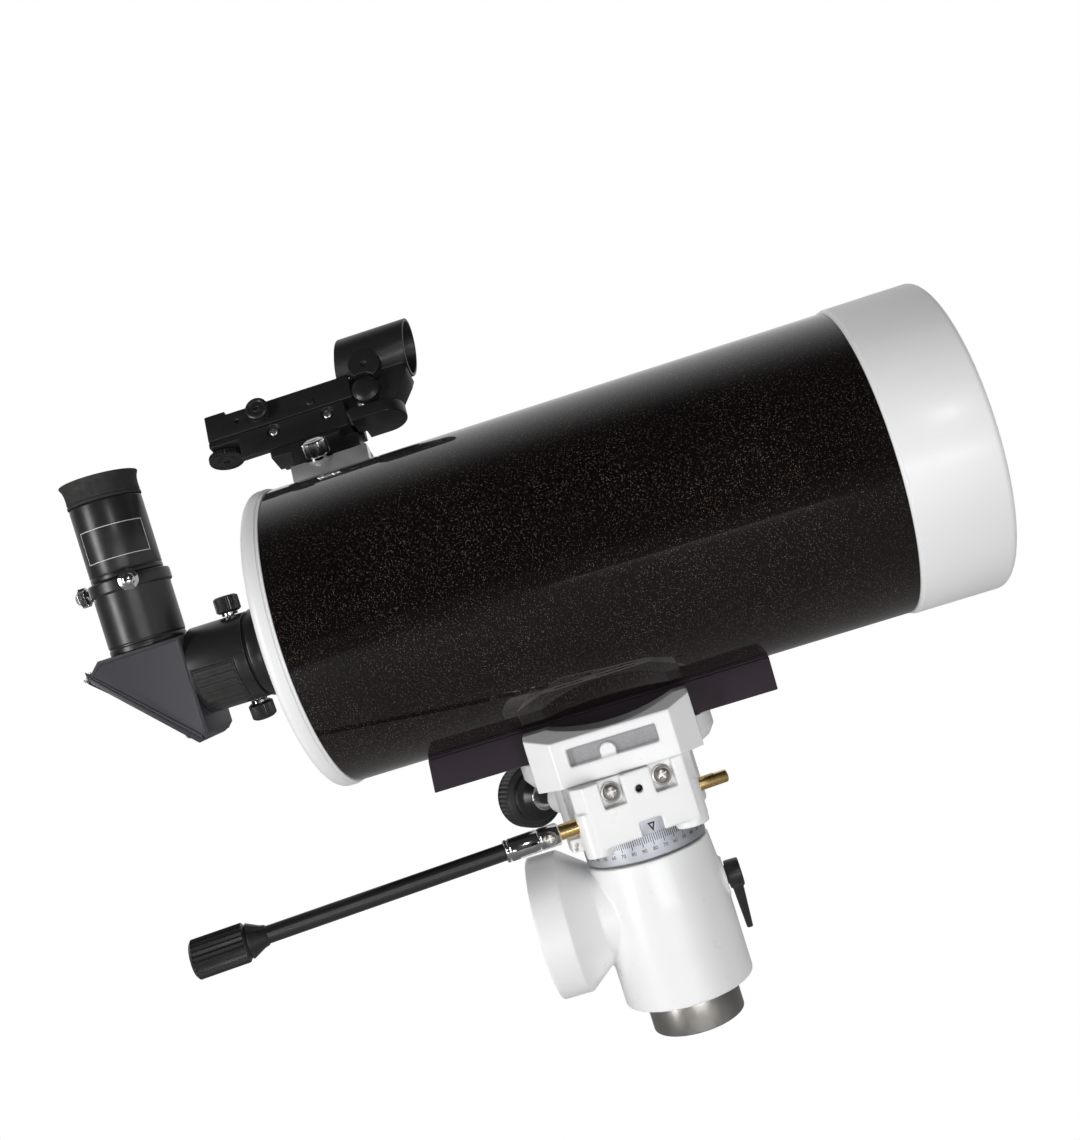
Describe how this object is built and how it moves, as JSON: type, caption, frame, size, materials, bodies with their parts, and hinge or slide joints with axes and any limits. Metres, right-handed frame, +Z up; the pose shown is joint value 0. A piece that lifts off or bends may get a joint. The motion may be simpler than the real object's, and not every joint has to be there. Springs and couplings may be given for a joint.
{
  "type": "telescope",
  "caption": "Closed-tube mirror telescope with star diagonal, eyepiece and red-dot finder on the geared declination head of a small equatorial mount.",
  "frame": {"origin": "centre of the flange face that bolts to the right-ascension shaft", "axes": "+X along the optical axis towards the sky at rest, +Z up along the declination axis, +Y to the far side"},
  "size_m": [0.4194, 0.1626, 0.3668],
  "materials": {
    "tube_black": "gloss black with metallic flecks",
    "cell_white": "satin white",
    "casting_white": "semi-gloss white, cast",
    "anodised_black": "black anodised, semi-gloss",
    "bar_anodised": "dark anodised, satin",
    "plastic_black": "moulded black",
    "plastic_satin": "moulded dark grey, satin",
    "rubber_black": "matt",
    "chrome": "polished",
    "steel": "turned",
    "brass": "turned",
    "aluminium_clear": "clear anodised",
    "circle_silver": "satin with engraved ticks",
    "plate_grey": "satin",
    "lens_glass": "coated",
    "mirror_glass": "aluminised"
  },
  "bodies": {
    "mount": {"dec_housing": "casting_white", "dec_bushes": "brass", "worm_wheel": "brass"},
    "circle": {"setting_circle": "circle_silver"},
    "brake": {"brake_lever": "plastic_black"},
    "head": {"dec_shaft": "steel", "head_casting": "casting_white", "head_screws": "steel", "pointer_plate": "plate_grey", "saddle": "casting_white"},
    "side_screw": {"side_clamp_knob": "plastic_black"},
    "clamp_jaw": {"clamp_pad": "anodised_black"},
    "clamp_screw": {"saddle_knob": "plastic_black"},
    "worm": {"worm_shaft": "brass", "cable_coupling": "chrome", "cable_screw": "steel", "flex_cable": "plastic_black"},
    "tube": {"tube_shell": "tube_black", "front_cell": "cell_white", "corrector_lens": "lens_glass", "corrector_retainer": "anodised_black", "secondary_baffle": "anodised_black", "rear_cell": "cell_white", "baffle_tube": "anodised_black", "back_adaptor": "anodised_black", "visual_back": "anodised_black", "grip_pads": "rubber_black", "dovetail_bar": "bar_anodised", "bar_bolts": "steel", "finder_shoe": "aluminium_clear", "shoe_screws": "steel", "finder_base": "plastic_black", "finder_screws": "steel"},
    "mirror_cell": {"mirror_carrier": "anodised_black", "primary_mirror": "mirror_glass"},
    "focuser": {"focus_screw": "brass", "focus_knob": "plastic_black"},
    "back_screw_top": {"back_thumb_top": "anodised_black"},
    "back_screw_low": {"back_thumb_low": "anodised_black"},
    "diagonal": {"diagonal_housing": "plastic_satin", "diagonal_cover": "plastic_satin", "diagonal_screws": "steel", "diagonal_prism": "lens_glass", "diagonal_nosepiece": "chrome", "eyepiece_holder": "anodised_black"},
    "holder_screw_side": {"holder_thumb_side": "chrome"},
    "holder_screw_front": {"holder_thumb_front": "chrome"},
    "eyepiece": {"eyepiece_body": "anodised_black", "eyepiece_barrel": "chrome", "eyepiece_lenses": "lens_glass", "eyecup": "rubber_black"},
    "shoe_screw": {"shoe_thumbscrew": "chrome"},
    "finder_carriage": {"finder_pivot": "steel"},
    "finder": {"finder_body": "plastic_black", "finder_hood": "plastic_black", "finder_window": "lens_glass", "battery_box": "plastic_black"},
    "tilt_screw": {"tilt_knob": "plastic_black"},
    "pan_screw": {"pan_knob": "plastic_black"},
    "dimmer": {"dimmer_wheel": "plastic_black"}
  },
  "joints": [
    {"name": "dec_turn", "type": "hinge", "parent": "mount", "child": "head", "pos_m": [0.057, 0, 0.04], "axis": [0, 0, 1], "continuous": true},
    {"name": "worm_turn", "type": "hinge", "parent": "head", "child": "worm", "pos_m": [0.0651, -0.03508, 0.05], "axis": [0.9744, 0.225, 0], "continuous": true},
    {"name": "circle_turn", "type": "hinge", "parent": "mount", "child": "circle", "pos_m": [0.057, 0, 0.03], "axis": [0, 0, 1], "continuous": true},
    {"name": "brake_turn", "type": "hinge", "parent": "mount", "child": "brake", "pos_m": [0.087, 0, 0], "axis": [1, 0, 0], "range_deg": [-45, 60]},
    {"name": "side_screw_turn", "type": "hinge", "parent": "head", "child": "side_screw", "pos_m": [0.02839, 0.01413, 0.0535], "axis": [-0.5732, 0.8187, 0.0349], "range_deg": [0, 360]},
    {"name": "clamp_jaw_slide", "type": "slide", "parent": "head", "child": "clamp_jaw", "axis": [0, 1, 0], "range_m": [0, 0.0015]},
    {"name": "clamp_screw_turn", "type": "hinge", "parent": "clamp_jaw", "child": "clamp_screw", "pos_m": [0.058, 0.04, 0.086], "axis": [0, 1, 0], "range_deg": [-5, 545]},
    {"name": "tube_slide", "type": "slide", "parent": "head", "child": "tube", "axis": [1, 0, 0], "range_m": [-0.035, 0.045]},
    {"name": "focus_turn", "type": "hinge", "parent": "tube", "child": "focuser", "pos_m": [-0.062, 0.046, 0.157], "axis": [1, 0, 0], "range_deg": [-1810, 1810]},
    {"name": "mirror_slide", "type": "slide", "parent": "tube", "child": "mirror_cell", "axis": [1, 0, 0], "range_m": [-0.005, 0.005]},
    {"name": "back_screw_top_turn", "type": "hinge", "parent": "tube", "child": "back_screw_top", "pos_m": [-0.1005, 0, 0.185], "axis": [0, 0, 1], "range_deg": [0, 360]},
    {"name": "back_screw_low_turn", "type": "hinge", "parent": "tube", "child": "back_screw_low", "pos_m": [-0.1005, 0, 0.165], "axis": [0, 0.1736, -0.9848], "range_deg": [0, 360]},
    {"name": "diagonal_turn", "type": "hinge", "parent": "tube", "child": "diagonal", "pos_m": [-0.112, 0, 0.165], "axis": [1, 0, 0], "continuous": true},
    {"name": "holder_screw_side_turn", "type": "hinge", "parent": "diagonal", "child": "holder_screw_side", "pos_m": [-0.1627, 0, 0.2153], "axis": [-1, 0, 0], "range_deg": [0, 360]},
    {"name": "holder_screw_front_turn", "type": "hinge", "parent": "diagonal", "child": "holder_screw_front", "pos_m": [-0.13586, -0.01879, 0.2153], "axis": [0.342, -0.9397, 0], "range_deg": [0, 360]},
    {"name": "eyepiece_turn", "type": "hinge", "parent": "diagonal", "child": "eyepiece", "pos_m": [-0.1427, 0, 0.225], "axis": [0, 0, 1], "continuous": true},
    {"name": "shoe_screw_turn", "type": "hinge", "parent": "tube", "child": "shoe_screw", "pos_m": [-0.039, 0.01488, 0.2416], "axis": [0, -0.3907, 0.9205], "range_deg": [0, 360]},
    {"name": "finder_pan", "type": "hinge", "parent": "tube", "child": "finder_carriage", "pos_m": [-0.029, 0.04046, 0.26514], "axis": [0, 0.3746, 0.9272], "range_deg": [-0.99, 0.99]},
    {"name": "finder_tilt", "type": "hinge", "parent": "finder_carriage", "child": "finder", "pos_m": [-0.029, 0.04458, 0.27533], "axis": [0, 0.9272, -0.3746], "range_deg": [-0.27, 1.95]},
    {"name": "tilt_screw_turn", "type": "hinge", "parent": "tube", "child": "tilt_screw", "pos_m": [-0.0906, 0.04046, 0.26514], "axis": [0, 0.3746, 0.9272], "range_deg": [-152, 1080]},
    {"name": "pan_screw_turn", "type": "hinge", "parent": "finder", "child": "pan_screw", "pos_m": [-0.066, 0.03483, 0.28111], "axis": [0, 0.9272, -0.3746], "range_deg": [-330, 330]},
    {"name": "dimmer_turn", "type": "hinge", "parent": "finder", "child": "dimmer", "pos_m": [-0.0105, 0.03518, 0.27396], "axis": [0, 0.9272, -0.3746], "range_deg": [0, 270]}
  ],
  "couplings": [
    {"joint": "worm_turn", "follows": "dec_turn", "ratio": 65},
    {"joint": "clamp_screw_turn", "follows": "clamp_jaw_slide", "rad_per_m": 6283.2},
    {"joint": "focus_turn", "follows": "mirror_slide", "rad_per_m": -6283.2},
    {"joint": "tilt_screw_turn", "follows": "finder_tilt", "ratio": 552.92},
    {"joint": "pan_screw_turn", "follows": "finder_pan", "ratio": 332.11}
  ]
}
